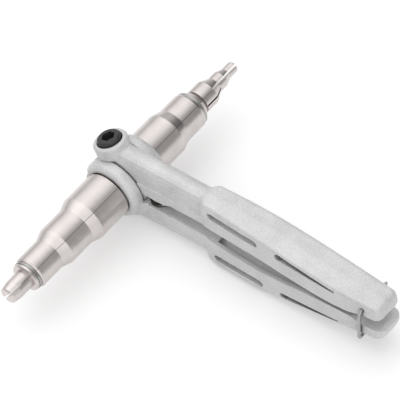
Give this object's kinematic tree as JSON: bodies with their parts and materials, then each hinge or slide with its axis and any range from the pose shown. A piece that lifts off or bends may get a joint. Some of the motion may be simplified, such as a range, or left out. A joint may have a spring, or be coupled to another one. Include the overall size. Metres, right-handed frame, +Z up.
{
  "type": "tube expander",
  "caption": "Lever tube expander with two opposed stepped split heads, cast alloy handles and a wire clasp",
  "frame": {"origin": "centre of the closed tool's plan view, on the ground plane below its lowest point", "axes": "+X along the closed handles from the heads to the handles' ends, +Y along the heads' common axis from the large head to the small one, +Z up on the clamp bolt's side"},
  "size_m": [0.14, 0.1392, 0.0381],
  "materials": {
    "cast_alloy": "satin",
    "jaw_steel": "polished",
    "bright_steel": "satin",
    "black_steel": "satin",
    "bronze": "satin"
  },
  "bodies": {
    "lower": {"lower_handle": "cast_alloy", "bush_left": "bronze", "bush_right": "bronze", "thrust_washer_left": "bronze", "thrust_washer_right": "bronze", "mouth_ring_left": "bright_steel", "mouth_ring_right": "bright_steel", "big_stop_ring": "bright_steel", "small_stop_ring": "bright_steel", "opening_spring": "bright_steel"},
    "upper": {"upper_handle": "cast_alloy", "cam_shaft": "bright_steel", "clamp_bolt": "black_steel", "lock_washer": "bright_steel"},
    "big_upper": {"big_jaw_upper": "jaw_steel"},
    "big_lower": {"big_jaw_lower": "jaw_steel", "big_guide_pins": "bright_steel"},
    "small_upper": {"small_jaw_upper": "jaw_steel"},
    "small_lower": {"small_jaw_lower": "jaw_steel", "small_guide_pins": "bright_steel"},
    "clasp": {"wire_clasp": "bright_steel"}
  },
  "joints": [
    {"name": "handle_hinge", "type": "hinge", "parent": "lower", "child": "upper", "pos_m": [-0.057, 0.0017, 0.01765], "axis": [0, -1, 0], "range_deg": [0, 60], "deforming": ["opening_spring"]},
    {"name": "clasp_swing", "type": "hinge", "parent": "upper", "child": "clasp", "pos_m": [0.0623, 0.0017, 0.02425], "axis": [0, -1, 0], "range_deg": [0, 100]},
    {"name": "big_upper_slide", "type": "slide", "parent": "lower", "child": "big_upper", "axis": [-0.766, 0, 0.6428], "range_m": [0, 0.0011]},
    {"name": "big_lower_slide", "type": "slide", "parent": "lower", "child": "big_lower", "axis": [0.766, 0, -0.6428], "range_m": [0, 0.0011]},
    {"name": "small_upper_slide", "type": "slide", "parent": "lower", "child": "small_upper", "axis": [-0.766, 0, 0.6428], "range_m": [0, 0.0011]},
    {"name": "small_lower_slide", "type": "slide", "parent": "lower", "child": "small_lower", "axis": [0.766, 0, -0.6428], "range_m": [0, 0.0011]}
  ],
  "couplings": [
    {"joint": "big_upper_slide", "follows": "handle_hinge", "m_per_rad": 0.00105},
    {"joint": "big_lower_slide", "follows": "handle_hinge", "m_per_rad": 0.00105},
    {"joint": "small_upper_slide", "follows": "handle_hinge", "m_per_rad": 0.00105},
    {"joint": "small_lower_slide", "follows": "handle_hinge", "m_per_rad": 0.00105}
  ]
}
